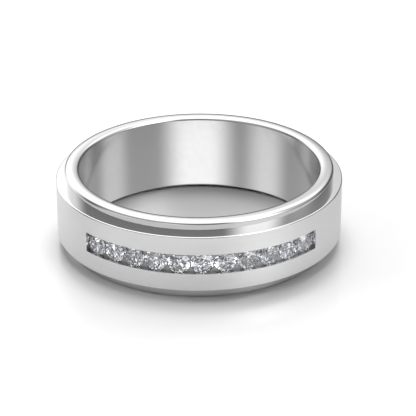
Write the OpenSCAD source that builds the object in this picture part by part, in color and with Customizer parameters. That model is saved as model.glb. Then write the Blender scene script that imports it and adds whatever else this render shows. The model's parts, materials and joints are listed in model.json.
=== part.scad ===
// Channel set band: a stepped ring with a row of round brilliant stones.
// The ring lies on its side. Its axis is +Z, its lower rim touches z = 0
// and the middle of the row of stones faces -Y. Lengths are in millimetres.

/* [Finger hole] */
// Inside diameter of the ring, about a finger size 10
bore_d = 19.8; // [15:0.1:23]

/* [Band] */
// Thickness of the wall from the hole to the raised centre
wall = 1.9; // [1.7:0.05:3]
// Width of the raised satin centre
centre_w = 4.7; // [3.5:0.1:7]
// Width of the polished step on each side of the centre
step_w = 0.96; // [0.5:0.01:1.5]
// Drop of the polished step below the raised centre
step_drop = 0.73; // [0.3:0.01:1]
// Radius of the crowned face of each rim
rim_crown_r = 1.8; // [1:0.1:6]
// Radius on both edges of each rim
rim_edge_r = 0.25; // [0.1:0.01:0.3]
// Radius on the shoulders of the raised centre
shoulder_r = 0.1; // [0.05:0.01:0.2]
// Radius in the inner corner of each step
corner_r = 0.02; // [0.02:0.01:0.15]

/* [Stones] */
// Number of stones in the row
stone_n = 11; // [3:1:15]
// Diameter of each stone at its girdle
stone_d = 1.8; // [1.4:0.01:2]
// Gap between neighbouring girdles
stone_gap = 0.03; // [0.02:0.01:0.1]
// Corner to corner diameter of the table
table_d = 1.03; // [0.8:0.01:1.1]
// Height of the crown above the girdle
crown_h = 0.27; // [0.2:0.01:0.3]
// Thickness of the girdle where it is thickest
girdle_t = 0.06; // [0.05:0.005:0.08]
// Depth of the pavilion below the girdle
pavilion_h = 0.77; // [0.65:0.01:0.85]

/* [Channel] */
// How far each lip of the channel covers the girdles
lip_cover = 0.07; // [0.02:0.01:0.1]
// Depth of the tables below the raised centre
table_depth = 0.04; // [0.02:0.01:0.1]
// Clearance between the stones and the metal round them
seat_gap = 0.02; // [0.01:0.005:0.04]
// Length of the channel beyond the last stone's girdle
end_gap = 0.04; // [0.04:0.01:0.3]

/* [Hidden] */
$fn = 128;

// A cut runs this far past the metal it removes
overrun = 0.5;
// The radii of the step and of the raised centre follow from the hole
bore_r = bore_d / 2;
outer_r = bore_r + wall;
rim_r = outer_r - step_drop;
band_w = centre_w + 2 * step_w;

// A rim lies between the hole and the step. Its edge circles touch its walls and
// its crown from inside, and their middles are given from the crown's own middle.
rim_w = rim_r - bore_r;
crown_at = band_w / 2 - rim_crown_r;
edge_x = rim_w / 2 - rim_edge_r;
edge_y = sqrt((rim_crown_r - rim_edge_r) ^ 2 - edge_x ^ 2);

// Facets of a brilliant: eight round the table, and four girdle sides for each
sides = 8;
sector = 360 / sides;
girdle_sides = 4 * sides;
stone_r = stone_d / 2;
table_r = table_d / 2;
// The star tips lie this share of the way from the table to the girdle
star_share = 0.45;
// The lower halves reach this share of the way from the girdle to the culet
lower_share = 0.78;
star_r = table_r + star_share * (stone_r - table_r);
lower_r = (1 - lower_share) * stone_r;
// The kites and the pavilion mains are planes that lean at these slopes, and
// the tips of the stars and of the lower halves lie on them
crown_drop = crown_h / (stone_r - table_r);
pavilion_drop = pavilion_h / stone_r;
star_h = (stone_r - star_r * cos(sector / 2)) * crown_drop;
lower_h = (stone_r - lower_r * cos(sector / 2)) * pavilion_drop;

// Distances from the ring's axis, going inwards from the tables
table_at = outer_r - table_depth;
girdle_top_at = table_at - crown_h;
girdle_low_at = girdle_top_at - girdle_t;
shelf_at = girdle_low_at - seat_gap;

// Half of the angle between neighbours leaves the gap at the girdle's low edge
pitch = 2 * atan((stone_r + stone_gap / 2) / girdle_low_at);
row_angle = (stone_n - 1) * pitch + 2 * atan((stone_r + end_gap) / girdle_low_at);

// The opening lies between the lips, and the groove reaches under them.
// Under a lip the crown rises as steeply as its upper halves do, and the
// covered stretch of girdle ends half a chord away from the stone's middle.
opening_w = stone_d - 2 * lip_cover;
groove_w = stone_d + 4 * seat_gap;
half_chord = sqrt(stone_r ^ 2 - (stone_r - lip_cover) ^ 2);
covered_h = lip_cover * star_h / (stone_r - star_r);
lip_under_at = norm([girdle_top_at + covered_h, half_chord]) + seat_gap;

// A seat is a cone that clears the pavilion's widest edges by the seat gap
seat_slope = (stone_r - lower_r) / lower_h;
seat_r = stone_r + seat_gap * norm([1, seat_slope]);
seat_h = pavilion_h + seat_gap;

function stone_name(i) = str("stone_", i < 10 ? "0" : "", i);

// A point at radius r and angle a about the stone's axis, at height z
function around(r, a, z) = [r * cos(a), r * sin(a), z];

// The height at which the plane through p, q and s passes over a point
function plane_height(p, q, s, at) =
    let (n = cross(q - p, s - p))
    p.z - (n.x * (at.x - p.x) + n.y * (at.y - p.y)) / n.z;

// What rounding to radius r takes off a corner that stands at the origin,
// with the metal on the side of +X and +Y
module round_off(r) {
    difference() {
        translate([-overrun, -overrun]) square(r + overrun);
        translate([r, r]) circle(r);
    }
}

// What crowning a rim and rounding its edges take off, the middle of the
// crown's circle standing at the origin
module crown_off() {
    difference() {
        translate([-rim_w, edge_y]) square([2 * rim_w, rim_crown_r]);
        circle(rim_crown_r);
    }
    touching = overrun * [edge_x, edge_y] / norm([edge_x, edge_y]);
    for (side = [0, 1])
        mirror([side, 0])
            translate([edge_x, edge_y])
                difference() {
                    polygon([[0, 0], [overrun, 0], [overrun, overrun], touching]);
                    circle(rim_edge_r);
                }
}

// What turning a step takes off a corner of the profile, the metal left
// standing below and inside the origin. Its inner corner has the radius r.
module step_off(r) {
    translate([r, 0]) square(step_w + wall);
    translate([0, r]) square(step_w + wall);
    translate([r, r]) circle(r);
}

// Repeats a shape on both sides of the profile's mid-line
module both_sides() {
    for (side = [0, 1]) mirror([0, side]) children();
}

// The ring's cross section, x being the distance from the axis
module profile() {
    difference() {
        translate([bore_r, -band_w / 2]) square([wall, band_w]);
        both_sides() {
            translate([rim_r, centre_w / 2]) step_off(corner_r);
            translate([bore_r + rim_w / 2, crown_at]) crown_off();
            translate([outer_r, centre_w / 2]) rotate(180) round_off(shoulder_r);
        }
    }
}

// A strip of the wall between two radii, w wide, along the row of stones
module row_cut(r_in, r_out, w) {
    translate([0, 0, band_w / 2])
        rotate(-90 - row_angle / 2)
            rotate_extrude(angle = row_angle)
                translate([r_in, -w / 2]) square([r_out - r_in, w]);
}

// Puts a stone's own frame at place i of the row, with its table outwards
// and the lower edge of its girdle at z = 0
module at_place(i) {
    turn = (i - (stone_n + 1) / 2) * pitch;
    translate([0, 0, band_w / 2])
        rotate([90, 0, turn])
            translate([0, 0, girdle_low_at])
                children();
}

// The conical seat that a stone's pavilion hangs in
module seat() {
    translate([0, 0, -seat_h])
        cylinder(h = seat_h, r1 = seat_r - seat_slope * seat_h, r2 = seat_r);
}

module band() {
    color("gainsboro")
        difference() {
            translate([0, 0, band_w / 2]) rotate_extrude() profile();
            row_cut(shelf_at, lip_under_at, groove_w);
            row_cut(shelf_at, outer_r + overrun, opening_w);
            for (i = [1 : stone_n]) at_place(i) seat();
        }
}

// A round brilliant about +Z, its table on top
module brilliant() {
    table_z = girdle_t + crown_h;
    star_z = girdle_t + star_h;
    table = [for (k = [0 : sides - 1]) around(table_r, k * sector, table_z)];
    stars = [for (k = [0 : sides - 1]) around(star_r, (k + 0.5) * sector, star_z)];
    lowers = [for (k = [0 : sides - 1]) around(lower_r, (k + 0.5) * sector, -lower_h)];
    culet = [0, 0, -pavilion_h];

    // The girdle's edges scallop where the half facets cut its round side
    crown_dip = plane_height(
        stars[0], around(stone_r, 0, girdle_t), around(stone_r, sector / 2, girdle_t),
        around(stone_r, sector / 4, 0));
    pavilion_rise = plane_height(
        lowers[0], around(stone_r, 0, 0), around(stone_r, sector / 2, 0),
        around(stone_r, sector / 4, 0));
    upper_edge = [for (j = [0 : girdle_sides - 1])
        around(stone_r, j * sector / 4, j % 2 == 0 ? girdle_t : crown_dip)];
    lower_edge = [for (j = [0 : girdle_sides - 1])
        around(stone_r, j * sector / 4, j % 2 == 0 ? 0 : pavilion_rise)];

    // First index of each ring of points
    s0 = sides;
    u0 = s0 + sides;
    g0 = u0 + girdle_sides;
    l0 = g0 + girdle_sides;
    culet_at = l0 + sides;
    function next(k) = (k + 1) % sides;
    function last(k) = (k + sides - 1) % sides;
    function edge(start, j) = start + j % girdle_sides;

    polyhedron(
        points = concat(table, stars, upper_edge, lower_edge, lowers, [culet]),
        faces = concat(
            [[for (k = [sides - 1 : -1 : 0]) k]],
            [for (k = [0 : sides - 1]) [k, next(k), s0 + k]],
            [for (k = [0 : sides - 1]) [k, s0 + k, edge(u0, 4 * k), s0 + last(k)]],
            [for (k = [0 : sides - 1], h = [0, 2])
                [s0 + k, edge(u0, 4 * k + h + 2), edge(u0, 4 * k + h + 1), edge(u0, 4 * k + h)]],
            [for (j = [0 : girdle_sides - 1])
                [edge(u0, j), edge(u0, j + 1), edge(g0, j + 1), edge(g0, j)]],
            [for (k = [0 : sides - 1], h = [0, 2])
                [l0 + k, edge(g0, 4 * k + h), edge(g0, 4 * k + h + 1), edge(g0, 4 * k + h + 2)]],
            [for (k = [0 : sides - 1]) [culet_at, l0 + last(k), edge(g0, 4 * k), l0 + k]]));
}

module stone(i) {
    color("aliceblue") at_place(i) brilliant();
}

band();
for (i = [1 : stone_n])
    stone(i);
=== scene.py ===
# %% [markdown]
# # A channel set band on a white table
#
# The real object is a wide finger ring in white gold. Its raised centre has a satin
# finish, the step on each side of it and the inside are polished like a mirror, and
# eleven round brilliants sit side by side in a channel. It lies on its side.
#
# The construction is already settled in the frame, so this script only gives the
# ring its looks. The frame's own band could be shown as it is, but its surface is
# made of long flat triangles, and a mirror shows each of them. So the band is
# turned once more here, to the same sizes, with even faces that can be shaded
# smoothly. Everything is in metres in the frame, and a ring is easier to read in
# millimetres, so each piece is modelled in millimetres and scaled once at the end.

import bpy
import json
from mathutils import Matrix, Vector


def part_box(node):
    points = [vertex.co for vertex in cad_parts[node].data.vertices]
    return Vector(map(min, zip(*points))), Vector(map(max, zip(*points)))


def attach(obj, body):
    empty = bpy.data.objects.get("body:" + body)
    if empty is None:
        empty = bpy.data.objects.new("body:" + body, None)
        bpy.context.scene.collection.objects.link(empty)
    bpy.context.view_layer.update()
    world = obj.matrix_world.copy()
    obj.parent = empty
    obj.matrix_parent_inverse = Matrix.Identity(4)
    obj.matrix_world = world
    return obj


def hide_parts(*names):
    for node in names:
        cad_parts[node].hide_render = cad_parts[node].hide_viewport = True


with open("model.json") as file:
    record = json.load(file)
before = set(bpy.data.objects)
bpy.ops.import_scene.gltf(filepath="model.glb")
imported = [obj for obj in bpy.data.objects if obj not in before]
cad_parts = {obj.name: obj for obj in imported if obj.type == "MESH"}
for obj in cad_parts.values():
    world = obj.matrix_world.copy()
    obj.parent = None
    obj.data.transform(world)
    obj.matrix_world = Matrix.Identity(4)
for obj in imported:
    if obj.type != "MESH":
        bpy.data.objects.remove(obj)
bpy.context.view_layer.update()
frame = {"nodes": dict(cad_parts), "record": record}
print("nodes in the frame:", len(frame["nodes"]))

# %% Tools and units
import json
import math

import bmesh
import bpy
from mathutils import Matrix, Vector

MM = 0.001


# %% [markdown]
# ## Sizes
#
# What the frame knows is read from it: the outside of the band, its width, the
# finger hole and where each stone stands. The small sizes of the profile and the
# channel can't be read from a box, so they are written here once, in millimetres.

# %% Sizes read from the frame
mounts = {mount["name"]: mount for mount in frame["record"]["mounts"]}
outer_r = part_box("band")[1].x / MM
bore_r = mounts["finger_bore"]["dims"]["r_mm"]
mid_z = mounts["finger_bore"]["pos_m"][2] / MM
band_w = 2 * mid_z
stone_names = sorted(name for name in frame["nodes"] if name.startswith("stone_"))
print("outer radius", round(outer_r, 3), "width", round(band_w, 3), "hole", bore_r)

# %% Sizes of the profile
step_w = 0.96
step_drop = 0.73
shoulder_r = 0.1
rim_r = outer_r - step_drop
print("the rims are", round(rim_r - bore_r, 2), "mm wide")

# %% Sizes of a rim: a crowned face between two rounded edges
rim_crown_r = 1.8
rim_edge_r = 0.25
rim_mid_r = (bore_r + rim_r) / 2
edge_x = (rim_r - bore_r) / 2 - rim_edge_r
edge_y = math.sqrt((rim_crown_r - rim_edge_r) ** 2 - edge_x ** 2)
crown_up = mid_z - rim_crown_r
edge_up = crown_up + edge_y
crown_half_angle = math.atan2(edge_x, edge_y)
print("the hole is straight over", round(2 * edge_up, 2), "mm, and the rim's face leans by",
      round(math.degrees(crown_half_angle), 1), "degrees where its edges begin")

# %% Sizes of the stones
stone_d = 1.8
crown_h = 0.27
girdle_t = 0.06
pavilion_h = 0.77
table_depth = 0.04
stone_r = stone_d / 2
table_at = outer_r - table_depth
girdle_low_at = table_at - crown_h - girdle_t
print("the tables lie", round(table_at, 2), "mm and the girdles",
      round(girdle_low_at, 2), "mm from the axis")

# %% Sizes of the channel and of the stones' seats
seat_gap = 0.02
lip_cover = 0.07
end_gap = 0.04
opening_w = stone_d - 2 * lip_cover
groove_w = stone_d + 4 * seat_gap
shelf_at = girdle_low_at - seat_gap
# The underside of the lips lies this far from the axis, clear of the crowns.
lip_under_at = 11.576
# A seat is a cone that clears a pavilion by the gap, from its foot to its mouth.
seat_h = pavilion_h + seat_gap
seat_foot_r = 0.0265
seat_r = 0.9304
print("the channel opens", round(opening_w, 2), "mm wide and is", round(groove_w, 2),
      "mm wide under its lips")


# %% Where the row of stones begins and ends
def azimuth_of(point):
    """The angle of a point round the ring's axis, in radians."""
    return math.atan2(point.y, point.x)


def stone_middle(name):
    low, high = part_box(name)
    return (low + high) / 2


stone_azimuths = [azimuth_of(stone_middle(name)) for name in stone_names]
beyond = math.atan((stone_r + end_gap) / girdle_low_at)
row_from = stone_azimuths[0] - beyond
row_to = stone_azimuths[-1] + beyond
print("the channel runs from", round(math.degrees(row_from), 2),
      "to", round(math.degrees(row_to), 2), "degrees")

# %% [markdown]
# ## Finishing a mesh
#
# A mirror shows every fault in a mesh. Where a flat face meets a rounding, plain
# smooth shading bends the flat face too. The Weighted Normal modifier lets the
# large face keep its own direction, so that only the rounding bends. It compares
# the areas of faces, which are too small to tell apart in square metres. So the
# modifiers are written into the mesh while it is still in millimetres, and only
# then is it scaled.


# %% A helper that turns a bmesh into a finished piece
def smooth_and_mark(bm, sharp_deg):
    """Smooth faces, with sharp edges where two faces meet at more than sharp_deg."""
    for face in bm.faces:
        face.smooth = True
    for edge in bm.edges:
        angle = edge.calc_face_angle(math.pi)
        edge.smooth = angle < math.radians(sharp_deg)


def new_piece(name, bm, materials):
    """An object, in millimetres so far, from a bmesh that is then freed."""
    mesh = bpy.data.meshes.new(name)
    bm.to_mesh(mesh)
    bm.free()
    for material in materials:
        mesh.materials.append(material)
    piece = bpy.data.objects.new(name, mesh)
    bpy.context.scene.collection.objects.link(piece)
    return piece


def keep_modifiers(piece):
    """Writes what the modifiers make of a piece into its mesh."""
    depsgraph = bpy.context.evaluated_depsgraph_get()
    made = bpy.data.meshes.new_from_object(piece.evaluated_get(depsgraph))
    piece.modifiers.clear()
    piece.data = made


def to_metres(piece):
    piece.data.transform(Matrix.Scale(MM, 4))


# %% [markdown]
# ## Colours and nodes
#
# Colours are written the way a paint chart gives them, as sRGB hex values, and one
# function turns them to the linear values that the shaders work in. One more
# function adds a node, fills in its settings and links its inputs.


# %% One function for colours and one for nodes
def linear(hex_colour):
    channels = [int(hex_colour[i:i + 2], 16) / 255 for i in (1, 3, 5)]
    return (*[c / 12.92 if c <= 0.04045 else ((c + 0.055) / 1.055) ** 2.4
              for c in channels], 1.0)


def add(tree, kind, settings=None, links=None):
    """Adds a node. A setting is a field of the node, or else one of its inputs.

    A link comes from an output, or from a node's first output.
    """
    node = tree.nodes.new(kind)
    for name, value in (settings or {}).items():
        if isinstance(name, str) and hasattr(node, name):
            setattr(node, name, value)
        else:
            node.inputs[name].default_value = value
    for name, source in (links or {}).items():
        output = source.outputs[0] if isinstance(source, bpy.types.Node) else source
        tree.links.new(output, node.inputs[name])
    return node


def new_material(name):
    """A material with a Principled shader, its tree and that shader."""
    material = bpy.data.materials.new(name)
    material.use_nodes = True
    tree = material.node_tree
    tree.nodes.clear()
    shader = add(tree, "ShaderNodeBsdfPrincipled")
    add(tree, "ShaderNodeOutputMaterial", links={"Surface": shader.outputs["BSDF"]})
    return material, tree, shader


def feature_scale(size_mm):
    """The Noise texture's scale that gives features of a size, on coordinates in metres."""
    return 1 / (size_mm * MM)


# %% [markdown]
# ## White gold
#
# The metal is 18 carat white gold under a thin coat of rhodium, which makes it a
# neutral grey white. It shows four finishes. The steps, the rims and the walls of
# the channel are buffed on a felt wheel until they mirror. The finger hole is
# buffed on a softer wheel, so what it mirrors is slightly blurred. The raised
# centre is satin: fine lines run round the band, and they spread what it mirrors
# into a soft glow. No wheel reaches the channel's floor, which stays as it was cast.
#
# Colour patterns would look like dirt on clean metal. What tells one finish from
# another is how sharply it mirrors, so each pattern goes into the roughness, and
# the lines of the satin into a slight relief too. The base colours are close to
# each other and were matched to the photograph. The satin's base colour is lighter
# than the buffed metal's, which is painted light on the raised centre, and the
# channel floor's is darker, which is painted shade in the narrow channel.

# %% Buffed white gold
GOLD = "#CDCDCD"
# the size of the faint cloudy marks that a felt wheel leaves, in millimetres
buff_mm = 0.5


def buffed_white_gold(name, roughest):
    """Rhodium plated 18 ct white gold, buffed on felt: a clear mirror.

    The marks of the wheel vary its roughness from half of roughest up to roughest.
    """
    material, tree, shader = new_material(name)
    place = add(tree, "ShaderNodeTexCoord").outputs["Object"]
    wear = add(tree, "ShaderNodeTexNoise", {"Scale": feature_scale(buff_mm), "Detail": 3.0},
               {"Vector": place})
    roughness = add(tree, "ShaderNodeMapRange", {"To Min": roughest / 2, "To Max": roughest},
                    {"Value": wear.outputs["Fac"]})
    tree.links.new(roughness.outputs["Result"], shader.inputs["Roughness"])
    shader.inputs["Base Color"].default_value = linear(GOLD)
    shader.inputs["Metallic"].default_value = 1.0
    return material


# %% Satin white gold, lightened with painted light
# a lighter grey than the buffed gold: painted light on the satin centre
SATIN_GOLD_PAINTED_LIGHT = "#E3E3E3"
# The real lines are a few hundredths of a millimetre wide and too fine to show in
# a picture of the whole ring. They are drawn as coarse as they need to be for that.
line_mm = 0.12
line_run_mm = 4.0


def satin_gold_with_painted_light():
    """The same metal, brushed round the band with a fine abrasive wheel: a soft glow, with a
    lighter base colour that is painted light.
    """
    material, tree, shader = new_material("satin_gold_with_painted_light")
    place = add(tree, "ShaderNodeTexCoord").outputs["Object"]
    lines = add(tree, "ShaderNodeMapping",
                {"Scale": (1 / line_run_mm, 1 / line_run_mm, 1 / line_mm)},
                {"Vector": place})
    brushed = add(tree, "ShaderNodeTexNoise", {"Scale": 1 / MM, "Detail": 4.0},
                  {"Vector": lines.outputs["Vector"]})
    roughness = add(tree, "ShaderNodeMapRange", {"To Min": 0.34, "To Max": 0.42},
                    {"Value": brushed.outputs["Fac"]})
    relief = add(tree, "ShaderNodeBump", {"Strength": 0.05, "Distance": 0.005 * MM},
                 {"Height": brushed.outputs["Fac"]})
    tree.links.new(roughness.outputs["Result"], shader.inputs["Roughness"])
    tree.links.new(relief.outputs["Normal"], shader.inputs["Normal"])
    shader.inputs["Base Color"].default_value = linear(SATIN_GOLD_PAINTED_LIGHT)
    shader.inputs["Metallic"].default_value = 1.0
    return material


# %% White gold as it left the mould, darkened with painted shade
# a darker grey than the buffed gold: painted shade in the channel between the stones
CAST_GOLD_PAINTED_SHADE = "#B8B8B8"
# the size of the grain that the plaster of the mould leaves on the metal
grain_mm = 0.1


def cast_gold_with_painted_shade():
    """The same metal as cast in plaster, on the channel's floor: matt, and a darker grey that
    is painted shade in the narrow channel.
    """
    material, tree, shader = new_material("cast_gold_with_painted_shade")
    place = add(tree, "ShaderNodeTexCoord").outputs["Object"]
    grain = add(tree, "ShaderNodeTexNoise", {"Scale": feature_scale(grain_mm), "Detail": 3.0},
                {"Vector": place})
    roughness = add(tree, "ShaderNodeMapRange", {"To Min": 0.5, "To Max": 0.7},
                    {"Value": grain.outputs["Fac"]})
    tree.links.new(roughness.outputs["Result"], shader.inputs["Roughness"])
    shader.inputs["Base Color"].default_value = linear(CAST_GOLD_PAINTED_SHADE)
    shader.inputs["Metallic"].default_value = 1.0
    return material


# %% The four finishes and their places in the band's list of materials
BUFFED = 0
SATIN = 1
BORE = 2
CAST = 3
gold_finishes = [
    buffed_white_gold("buffed_white_gold", 0.08),
    satin_gold_with_painted_light(),
    buffed_white_gold("buffed_bore", 0.24),
    cast_gold_with_painted_shade(),
]
print("finishes of the gold:", [finish.name for finish in gold_finishes])

# %% [markdown]
# ## The band
#
# A goldsmith turns such a ring from a tube: the profile is a flat shape, and the
# lathe swings it round the axis. Spin does the same here. A Bevel modifier could
# round the corners of a finished ring, but the rims are slightly crowned all the
# way across, so the profile is drawn with its curves from the start. Each rim is a
# chain of three arcs, drawn by spinning one point about three centres in turn. The
# two shoulders of the raised centre are corners, and bevelling a corner as a vertex
# rounds it. The inner corner of each step is too tight to show, so it stays sharp.
# Two more corners on the outside mark where the channel will be cut, so that the
# spin already draws its two long edges.
#
# The spin is done in two parts, first along the row of stones and then round the
# rest. In that way the channel's ends fall exactly on an edge of the mesh.

# %% How finely the curves are divided
edge_steps = 6
crown_steps = 8
shoulder_steps = 6
row_steps = 120
rest_steps = 310
print("one turn of the ring takes", row_steps + rest_steps, "steps")


# %% A rim's three arcs
def draw_rim(bm, start, side):
    """Rounds an edge, crowns the face and rounds the other edge. Returns the last point.

    side is 1 for the upper rim, drawn from the hole outwards, and -1 for the lower
    one, drawn back to the hole.
    """
    last = start
    edge_angle = math.pi / 2 - crown_half_angle
    # each arc's centre, measured from the crown's own, its angle and its steps
    arcs = [
        (-edge_x, edge_y, edge_angle, edge_steps),
        (0, 0, 2 * crown_half_angle, crown_steps),
        (edge_x, edge_y, edge_angle, edge_steps),
    ]
    for x, up, angle, steps in arcs:
        centre = (rim_mid_r + side * x, 0, mid_z + side * (crown_up + up))
        arc = bmesh.ops.spin(bm, geom=[last], cent=centre, axis=(0, 1, 0), angle=angle,
                             steps=steps, use_merge=False)
        last = arc["geom_last"][0]
    return last


# %% The profile, its shoulders rounded
def band_profile(bm):
    """The ring's cross section as a closed line in the plane y = 0."""
    half_opening = opening_w / 2
    # each corner's distance from the axis, its height and the radius that rounds it
    corners = [
        (rim_r, band_w - step_w, 0),
        (outer_r, band_w - step_w, shoulder_r),
        (outer_r, mid_z + half_opening, 0),
        (outer_r, mid_z - half_opening, 0),
        (outer_r, step_w, shoulder_r),
        (rim_r, step_w, 0),
        (rim_r, mid_z - edge_up, 0),
    ]
    first = bm.verts.new((bore_r, 0, mid_z + edge_up))
    last = draw_rim(bm, first, 1)
    rounded = []
    for x, z, radius in corners:
        point = bm.verts.new((x, 0, z))
        bm.edges.new((last, point))
        last = point
        if radius:
            rounded.append((point, radius))
    last = draw_rim(bm, last, -1)
    bm.edges.new((last, first))
    for point, radius in rounded:
        bmesh.ops.bevel(bm, geom=[point], affect="VERTICES", offset=radius,
                        offset_type="OFFSET", segments=shoulder_steps, profile=0.5,
                        material=-1)


# %% The turned ring
def turned_ring():
    bm = bmesh.new()
    band_profile(bm)
    bmesh.ops.rotate(bm, verts=bm.verts[:], cent=(0, 0, 0),
                     matrix=Matrix.Rotation(row_from, 3, "Z"))
    row_angle = row_to - row_from
    around = {"cent": (0, 0, 0), "axis": (0, 0, 1), "use_merge": False}
    row = bmesh.ops.spin(bm, geom=bm.verts[:] + bm.edges[:], angle=row_angle,
                         steps=row_steps, **around)
    bmesh.ops.spin(bm, geom=row["geom_last"], angle=2 * math.pi - row_angle,
                   steps=rest_steps, **around)
    bmesh.ops.remove_doubles(bm, verts=bm.verts[:], dist=0.001)
    bmesh.ops.recalc_face_normals(bm, faces=bm.faces[:])
    return bm


# %% [markdown]
# ## The channel
#
# On the bench a channel is milled, and a smaller cutter then clears a groove under
# each lip for the edges of the stones. A Boolean could cut it here too, but it
# could leave uneven faces along the two long edges, and those show clearly in the
# photograph. So the channel is pushed in. The strip of faces between the two long edges is
# extruded, and scaling it towards the axis takes it to the underside of the lips.
# There it is made wider, which leaves the lips standing proud on both sides, and a
# last extrusion takes it down to the shelf that the stones stand over.


# %% Pushing a strip of faces in
def in_row(face):
    middle = face.calc_center_median()
    turn = azimuth_of(middle)
    return (row_from < turn < row_to and abs(middle.z - mid_z) < opening_w / 2
            and middle.xy.length > rim_r)


def push_in(bm, faces, r_from, r_to, wider=1.0):
    """Extrudes faces and moves the new ones towards the axis. Returns the new faces."""
    made = bmesh.ops.extrude_face_region(bm, geom=faces)["geom"]
    bmesh.ops.delete(bm, geom=faces, context="FACES")
    verts = [item for item in made if isinstance(item, bmesh.types.BMVert)]
    inwards = r_to / r_from
    bmesh.ops.scale(bm, verts=verts, vec=(inwards, inwards, wider),
                    space=Matrix.Translation((0, 0, -mid_z)))
    return [item for item in made if isinstance(item, bmesh.types.BMFace)]


# %% The channel's three cuts and its end walls
no_area = 1e-7
same_turn = 1e-4


def join_end_walls(bm):
    """Makes one face of each end wall.

    Where the strip was made wider, a face without any area was left at each end,
    which shows where an end wall is.
    """
    flat = [face for face in bm.faces if face.calc_area() < no_area]
    ends = {round(azimuth_of(face.calc_center_median()), 5) for face in flat}
    for end in ends:
        walls = [face for face in bm.faces
                 if abs(azimuth_of(face.calc_center_median()) - end) < same_turn]
        bmesh.ops.dissolve_faces(bm, faces=walls)


def cut_channel(bm):
    strip = [face for face in bm.faces if in_row(face)]
    strip = push_in(bm, strip, outer_r, lip_under_at)
    strip = push_in(bm, strip, lip_under_at, lip_under_at, wider=groove_w / opening_w)
    push_in(bm, strip, lip_under_at, shelf_at)
    join_end_walls(bm)


# %% The ring with its channel
ring = turned_ring()
print("turned:", len(ring.faces), "faces")
cut_channel(ring)
loose = [edge for edge in ring.edges if not edge.is_manifold]
print("with the channel:", len(ring.faces), "faces,", len(loose), "open edges")

# %% [markdown]
# ## The seats
#
# Each stone hangs in a seat, a cone drilled into the shelf. A cone that cuts a
# curved floor has no simple edge loop, so the Boolean modifier does this part, as
# the drill does it on the bench. The drill leaves the seats bright. They lie under
# the stones, so the uneven faces round them hardly show.


# %% Drills for the seats
def seat_drills():
    """One mesh with a cone below each stone's girdle, its top just above the shelf."""
    bm = bmesh.new()
    for turn in stone_azimuths:
        cone = bmesh.ops.create_cone(bm, cap_ends=True, segments=64, depth=seat_h,
                                     radius1=seat_foot_r, radius2=seat_r)
        out = girdle_low_at - seat_h / 2
        place = (Matrix.Translation((0, 0, mid_z)) @ Matrix.Rotation(turn, 4, "Z")
                 @ Matrix.Translation((out, 0, 0)) @ Matrix.Rotation(math.pi / 2, 4, "Y"))
        bmesh.ops.transform(bm, matrix=place, verts=cone["verts"])
    for face in bm.faces:
        face.material_index = BUFFED
    return bm


# %% Which finish a face has
# A face lies on a cylinder of the ring if its middle is as near to it as this.
near = 0.005


def is_satin(face):
    """The raised centre's own cylinder, without its shoulders and the channel."""
    middle = face.calc_center_median()
    return (middle.xy.length > outer_r - near
            and step_w + shoulder_r < middle.z < band_w - step_w - shoulder_r)


def is_bore(face):
    """The finger hole's own cylinder, without its rounded edges."""
    middle = face.calc_center_median()
    return middle.xy.length < bore_r + near and abs(middle.z - mid_z) < edge_up


def is_channel_floor(face):
    middle = face.calc_center_median()
    return abs(middle.xy.length - shelf_at) < near and abs(middle.z - mid_z) < groove_w / 2


def finish_of(face):
    for finish, test in ((SATIN, is_satin), (BORE, is_bore), (CAST, is_channel_floor)):
        if test(face):
            return finish
    return BUFFED


for face in ring.faces:
    face.material_index = finish_of(face)
for finish, material in enumerate(gold_finishes):
    count = sum(face.material_index == finish for face in ring.faces)
    print(material.name, "on", count, "faces")

# %% The band with its seats drilled
crease_deg = 30
smooth_and_mark(ring, crease_deg)
band = new_piece("gold_band", ring, gold_finishes)
drills = new_piece("seat_drills", seat_drills(), gold_finishes)
drilling = band.modifiers.new("seats", "BOOLEAN")
drilling.operation = "DIFFERENCE"
drilling.solver = "EXACT"
drilling.use_self = True
drilling.object = drills
keep_modifiers(band)
bpy.data.objects.remove(drills)
print("with the seats:", len(band.data.polygons), "faces")

# %% The finished band
weigh = band.modifiers.new("flat_faces_lead", "WEIGHTED_NORMAL")
weigh.mode = "FACE_AREA"
weigh.keep_sharp = True
keep_modifiers(band)
to_metres(band)
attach(band, "root")
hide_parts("band")
print("the band:", len(band.data.polygons), "faces")

# %% [markdown]
# ## The stones
#
# A cutter grinds each facet of a brilliant flat on an iron wheel with diamond dust.
# The frame's stones already have the 57 facets, and a facet has to stay flat, so
# they are kept as they are and only get their material. Diamond bends light
# strongly. Its index of refraction is 2.42, so most of what enters through the
# table is thrown back out. It has no pattern of its own: all that the eye sees in
# it is the light of the room, broken up by the facets.


# %% Diamond
def diamond():
    """Brilliant cut diamond, near colourless: each facet is a mirror and a window."""
    material, tree, shader = new_material("brilliant_cut_diamond")
    shader.inputs["Base Color"].default_value = linear("#FAFCFF")
    shader.inputs["Roughness"].default_value = 0.0
    shader.inputs["IOR"].default_value = 2.417
    shader.inputs["Transmission Weight"].default_value = 1.0
    return material


stone_material = diamond()
for name in stone_names:
    frame["nodes"][name].material_slots[0].material = stone_material
print("stones with facets:", len(stone_names))

# %% [markdown]
# ## The table
#
# The ring lies on a sheet of white acrylic. A product photograph is often put
# together from several pictures, each lit for one material, and this one looks
# like that. The inside of the band mirrors soft upright bands of light and no
# table, and what the outside mirrors is greyer than the table that the camera
# sees. One board can't do both, so there are two. The camera sees a whole white
# one, mirrors see a grey one with a hole inside the ring, and the light that passes
# through a stone meets neither.

# %% Sizes of the table, in millimetres
board_r = 2500
board_below = 0.01
mirrored_r = 27
mirrored_below = 0.02
rim_segments = 256


# %% Acrylic sheet
# the size of the faint ripples that the rollers leave in the sheet
ripple_mm = 3.0


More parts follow.
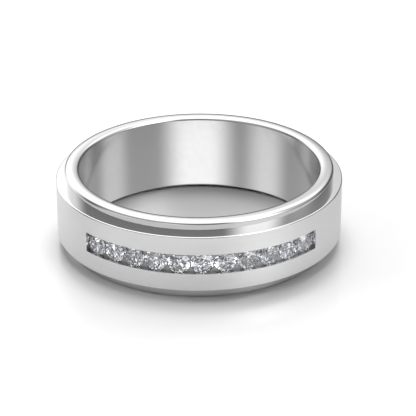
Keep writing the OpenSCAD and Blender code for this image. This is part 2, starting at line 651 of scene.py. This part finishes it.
def acrylic(name, colour):
    """Extruded acrylic sheet: a matt body under a faint gloss."""
    material, tree, shader = new_material(name)
    place = add(tree, "ShaderNodeTexCoord").outputs["Object"]
    ripples = add(tree, "ShaderNodeTexNoise", {"Scale": feature_scale(ripple_mm)},
                  {"Vector": place})
    roughness = add(tree, "ShaderNodeMapRange", {"To Min": 0.08, "To Max": 0.12},
                    {"Value": ripples.outputs["Fac"]})
    tree.links.new(roughness.outputs["Result"], shader.inputs["Roughness"])
    shader.inputs["Base Color"].default_value = linear(colour)
    return material


# %% A round board
def board_piece(name, hole_r, outside_r, below, material):
    """A round board about the axis, with a hole if hole_r isn't 0."""
    bm = bmesh.new()
    if hole_r:
        rim = bmesh.ops.create_circle(bm, segments=rim_segments, radius=hole_r)["verts"]
        edges = list({edge for vert in rim for edge in vert.link_edges})
        made = bmesh.ops.extrude_edge_only(bm, edges=edges)["geom"]
        verts = [item for item in made if isinstance(item, bmesh.types.BMVert)]
        wider = outside_r / hole_r
        bmesh.ops.scale(bm, verts=verts, vec=(wider, wider, 1))
    else:
        bmesh.ops.create_circle(bm, cap_ends=True, segments=rim_segments, radius=outside_r)
    bmesh.ops.translate(bm, verts=bm.verts[:], vec=(0, 0, -below))
    for face in bm.faces[:]:
        if face.normal.z < 0:
            face.normal_flip()
    piece = new_piece(name, bm, [material])
    to_metres(piece)
    return piece


# %% The board that the camera sees and the one that mirrors see
board = board_piece("board", 0, board_r, board_below, acrylic("white_board", "#E7E7E7"))
board.visible_glossy = False
board.visible_diffuse = False
board.visible_transmission = False
board.visible_shadow = False
mirrored = board_piece("mirrored_board", bore_r, mirrored_r, mirrored_below,
                       acrylic("grey_board", "#CFCFCF"))
mirrored.visible_camera = False
mirrored.visible_transmission = False
print("the camera sees a board of", board_r, "mm radius, and mirrors see one of",
      mirrored_r, "mm with a hole of", bore_r, "mm")

# %% [markdown]
# ## The light on the metal
#
# A studio for jewellery is a white tent. It is bright overhead and dim near the
# ground, and a few cards in it draw the lights and darks on the metal. Area lamps
# could stand for the cards, but their sharp edges would show in the mirrors. Here
# the tent is the world itself, because light that comes from all round has no
# grain and costs nothing. Each card is a soft window in azimuth and in elevation.
# The table isn't lit by this world, so a card can be moved without a change to the
# shadow.

# %% The tent and its cards
# elevation, brightness
tent = [(-90, 0.5), (-24, 0.5), (-18, 0.2), (-6, 0.14), (6, 0.17), (18, 0.23), (30, 0.5),
        (42, 1.0), (55, 1.5), (70, 2.0), (90, 2.2)]
cards = [
    # Azimuth 0 is towards the camera, and 90 is the picture's right.
    # azimuth, half width, soft edge, elevation, half height, soft edge, brightness
    (0, 11, 32, -25, 8, 10, 1.1),
    (-71, 4, 26, -25, 8, 10, 0.58),
    (94, 6, 20, -25, 8, 10, 0.4),
    (-50, 20, 30, -3, 6, 12, 0.9),
    (-134, 3, 32, -1, 6, 19, 1.4),
    (-150, 14, 26, 38, 15, 17, 1.2),
    (180, 10, 30, 38, 15, 17, 0.55),
    (143, 12, 21, 40, 2, 15, 1.0),
    (91, 0, 36, 16, 0, 20, 0.7),
    (52, 4, 36, 3, 12, 13, 1.1),
    (49, 7, 25, 32, 12, 26, 1.75),
]
print("the tent has", len(cards), "cards")


# %% A soft window of an angle
def window(tree, angle, centre, half, soft, height=1.0):
    """height inside a window of an angle, falling to 0 over its soft edge."""
    away = add(tree, "ShaderNodeMath", {"operation": "SUBTRACT", 1: math.radians(centre)},
               {0: angle})
    wrapped = add(tree, "ShaderNodeMath", {"operation": "WRAP", 1: math.pi, 2: -math.pi},
                  {0: away})
    distance = add(tree, "ShaderNodeMath", {"operation": "ABSOLUTE"}, {0: wrapped})
    return add(tree, "ShaderNodeMapRange",
               {"interpolation_type": "SMOOTHSTEP", "From Min": math.radians(half + soft),
                "From Max": math.radians(half), "To Max": height},
               {"Value": distance})


# %% The tent's brightness
def tent_light(tree, elevation):
    """The tent's brightness at an elevation, eased from one stop to the next."""
    brightest = max(brightness for stop, brightness in tent)
    share = add(tree, "ShaderNodeMapRange",
                {"From Min": -math.pi / 2, "From Max": math.pi / 2}, {"Value": elevation})
    ramp = add(tree, "ShaderNodeValToRGB", links={"Fac": share})
    ramp.color_ramp.interpolation = "EASE"
    stops = ramp.color_ramp.elements
    while len(stops) < len(tent):
        stops.new(0.5)
    for stop, (degrees, brightness) in zip(stops, tent):
        stop.position = (degrees + 90) / 180
        stop.color = (*[brightness / brightest] * 3, 1)
    return add(tree, "ShaderNodeMath", {"operation": "MULTIPLY", 1: brightest}, {0: ramp})


# %% [markdown]
# ## The light in the stones
#
# A brilliant sends light round its facets and out again, and each facet shows
# another small part of the room. Under a plain white tent all of them would show
# the same, and the stone would look like frosted glass. It sparkles when the room
# has many small lights with darks between them. So light that has passed through a
# stone comes from a room of cells, most of them dim and a few bright. Some have a
# slight tint, for the colours that diamond splits white light into. Two broad
# cards, one above and one below, keep the stones from going dark.

# %% The room that the stones see
cell_scale = 6.0
cell_brightest = 2.2
cell_contrast = 3.0
# how far through the cells a colour begins, and that colour
fire = [(0.0, "#FFFFFF"), (0.75, "#B9C4F8"), (0.95, "#F8E6D2")]
# elevation, half height, soft edge, brightness
stone_cards = [(90, 25, 10, 7.0), (-90, 28, 8, 3.0)]


def room_cells(tree, way):
    """A room of small lights and darks: the brightness and the colour of a cell."""
    cells = add(tree, "ShaderNodeTexVoronoi", {"Scale": cell_scale}, {"Vector": way})
    random = add(tree, "ShaderNodeSeparateXYZ", links={"Vector": cells.outputs["Color"]})
    chance, hue = random.outputs[:2]
    contrast = add(tree, "ShaderNodeMath", {"operation": "POWER", 1: cell_contrast},
                   {0: chance})
    sparkle = add(tree, "ShaderNodeMath", {"operation": "MULTIPLY", 1: cell_brightest},
                  {0: contrast})
    ramp = add(tree, "ShaderNodeValToRGB", links={"Fac": hue})
    ramp.color_ramp.interpolation = "CONSTANT"
    stops = ramp.color_ramp.elements
    stops.new(0.5)
    for stop, (start, shade) in zip(stops, fire):
        stop.position = start
        stop.color = linear(shade)
    return sparkle, ramp


# %% The world
def studio_world():
    world = bpy.data.worlds.new("studio")
    bpy.context.scene.world = world
    world.use_nodes = True
    world.cycles_visibility.diffuse = False
    tree = world.node_tree
    tree.nodes.clear()
    way = add(tree, "ShaderNodeTexCoord").outputs["Generated"]
    x, y, z = add(tree, "ShaderNodeSeparateXYZ", links={"Vector": way}).outputs
    front = add(tree, "ShaderNodeMath", {"operation": "MULTIPLY", 1: -1.0}, {0: y})
    azimuth = add(tree, "ShaderNodeMath", {"operation": "ARCTAN2"}, {0: x, 1: front})
    elevation = add(tree, "ShaderNodeMath", {"operation": "ARCSINE"}, {0: z})
    light = tent_light(tree, elevation)
    for *across, up, half_up, soft_up, brightness in cards:
        wide = window(tree, azimuth, *across)
        high = window(tree, elevation, up, half_up, soft_up, brightness)
        light = add(tree, "ShaderNodeMath", {"operation": "MULTIPLY_ADD"},
                    {0: wide, 1: high, 2: light})
    from_stone = add(tree, "ShaderNodeLightPath").outputs["Is Transmission Ray"]
    sparkle, colour = room_cells(tree, way)
    light = add(tree, "ShaderNodeMix", links={0: from_stone, "A": light, "B": sparkle})
    for card in stone_cards:
        high = window(tree, elevation, *card)
        light = add(tree, "ShaderNodeMath", {"operation": "MULTIPLY_ADD"},
                    {0: high, 1: from_stone, 2: light})
    tint = add(tree, "ShaderNodeMix", {"data_type": "RGBA", 6: (1, 1, 1, 1)},
               {0: from_stone, 7: colour})
    background = add(tree, "ShaderNodeBackground", {},
                     {"Strength": light, "Color": tint.outputs[2]})
    add(tree, "ShaderNodeOutputWorld", links={"Surface": background})
    return tree


print("the world has", len(studio_world().nodes), "nodes")

# %% [markdown]
# ## The light on the table
#
# The ring's shadow is soft all round and deepest close to its foot. A ring of Sun
# lamps gives that, each as wide as a large soft box. A Sun's light comes from one
# direction wherever it stands, so the lamps need no place, only a direction and a
# breadth. Mirrors and stones don't see them.

# %% Lamps that only the table sees
lamps = [
    # azimuth, elevation, half of its breadth, all in degrees, and its strength
    (180, 80, 18, 1.81),
    (180, 45, 20, 0.89),
    (-140, 20, 25, 1.0),
    (-90, 15, 20, 2.49),
    (-45, 15, 20, 0.44),
    (45, 15, 20, 1.51),
    (90, 15, 20, 1.21),
    (140, 20, 25, 1.34),
]


def towards(azimuth, elevation):
    """The direction of an azimuth and an elevation in degrees."""
    a, e = math.radians(azimuth), math.radians(elevation)
    return Vector((math.sin(a) * math.cos(e), -math.cos(a) * math.cos(e), math.sin(e)))


def table_lamp(azimuth, elevation, half_breadth, strength):
    data = bpy.data.lights.new("table_lamp", "SUN")
    data.energy = strength
    data.angle = math.radians(2 * half_breadth)
    lamp = bpy.data.objects.new("table_lamp", data)
    bpy.context.scene.collection.objects.link(lamp)
    lamp.rotation_euler = towards(azimuth, elevation).to_track_quat("Z", "Y").to_euler()
    lamp.visible_glossy = False
    lamp.visible_transmission = False


for lamp in lamps:
    table_lamp(*lamp)
print("lamps on the table:", len(lamps))

# %% [markdown]
# ## The paths of light
#
# Light that a mirror throws on the table would fill the ring's shadow, and the
# photograph has a deep one, so these caustics are off. A brilliant sends light
# round inside it many times, so light may go through and mirror more often than
# it usually may.

# %% How far light travels
bounces = 16
paths = bpy.context.scene.cycles
paths.caustics_reflective = False
paths.max_bounces = bounces
paths.glossy_bounces = bounces
paths.transmission_bounces = bounces
print("light may bounce", bounces, "times")

# %% [markdown]
# ## The camera
#
# The photograph was taken with a long lens from above the front of the ring. The
# distance and the angles were fitted to the two ends of the channel, the rims and
# the outline, so the camera stands where it stood then. The picture is shown as it
# is, without a film curve, because a curve would turn the white table grey.

# %% Camera values
azimuth_deg = -1.0
elevation_deg = 25.17
distance_mm = 151.4
lens_mm = 157.6
aim_right_mm = 0.724
aim_up_mm = -0.671
roll_deg = -0.18


# %% The camera
def photo_camera():
    out = towards(azimuth_deg, elevation_deg)
    right = towards(azimuth_deg + 90, 0)
    up = out.cross(right)
    middle = Vector((0, 0, mid_z * MM))
    place = middle + out * distance_mm * MM
    aim = middle + (right * aim_right_mm + up * aim_up_mm) * MM
    data = bpy.data.cameras.new("photo_camera")
    data.lens = lens_mm
    data.sensor_width = 36
    data.clip_start = 0.01
    data.clip_end = 10
    camera = bpy.data.objects.new("photo_camera", data)
    bpy.context.scene.collection.objects.link(camera)
    turned = (aim - place).to_track_quat("-Z", "Y").to_matrix()
    turned = turned @ Matrix.Rotation(math.radians(roll_deg), 3, "Z")
    camera.matrix_world = Matrix.Translation(place) @ turned.to_4x4()
    bpy.context.scene.camera = camera


photo_camera()
bpy.context.scene.view_settings.view_transform = "Standard"
print("the camera looks down by", elevation_deg, "degrees from", distance_mm, "mm away")
